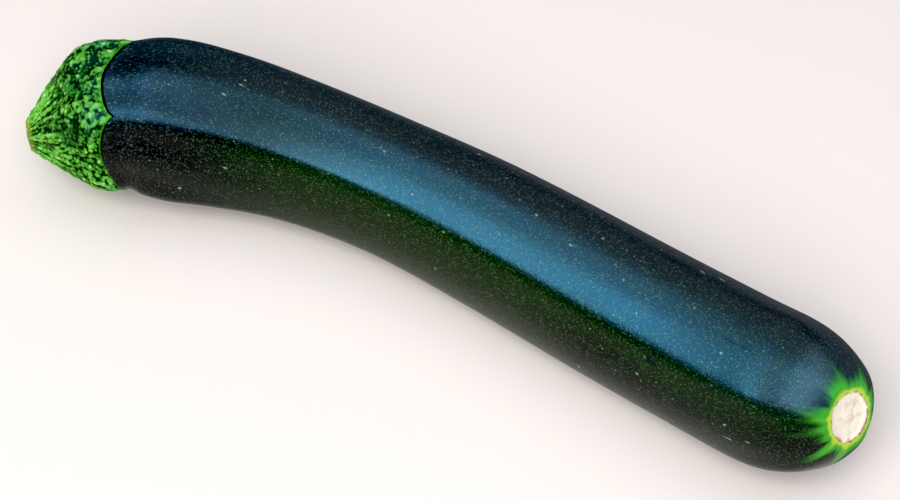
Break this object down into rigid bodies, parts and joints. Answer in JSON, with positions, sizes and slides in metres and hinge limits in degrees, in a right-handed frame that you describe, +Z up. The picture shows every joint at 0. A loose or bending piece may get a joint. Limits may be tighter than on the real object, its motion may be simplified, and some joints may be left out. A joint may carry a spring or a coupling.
{
  "type": "squash",
  "caption": "Dark green courgette with a gentle bend, lying on its side: a long ridged fruit with a pale blossom scar and a warty, ribbed green stem.",
  "frame": {"origin": "centre of the bounding box's footprint, on the table plane that the squash lies on", "axes": "+X from the cut of the stem to the blossom scar, +Z up, and +Y away from the viewer, towards the outside of the bend"},
  "size_m": [0.2262, 0.0566, 0.0412],
  "materials": {
    "skin": "smooth, waxy, nearly black green skin with a fine pale fleck, yellow-green round the blossom scar",
    "stem": "bright green, warty and ribbed, semi-matte, brown and fibrous at the cut"
  },
  "bodies": {
    "root": {"fruit": "skin", "stem": "stem"}
  },
  "joints": []
}
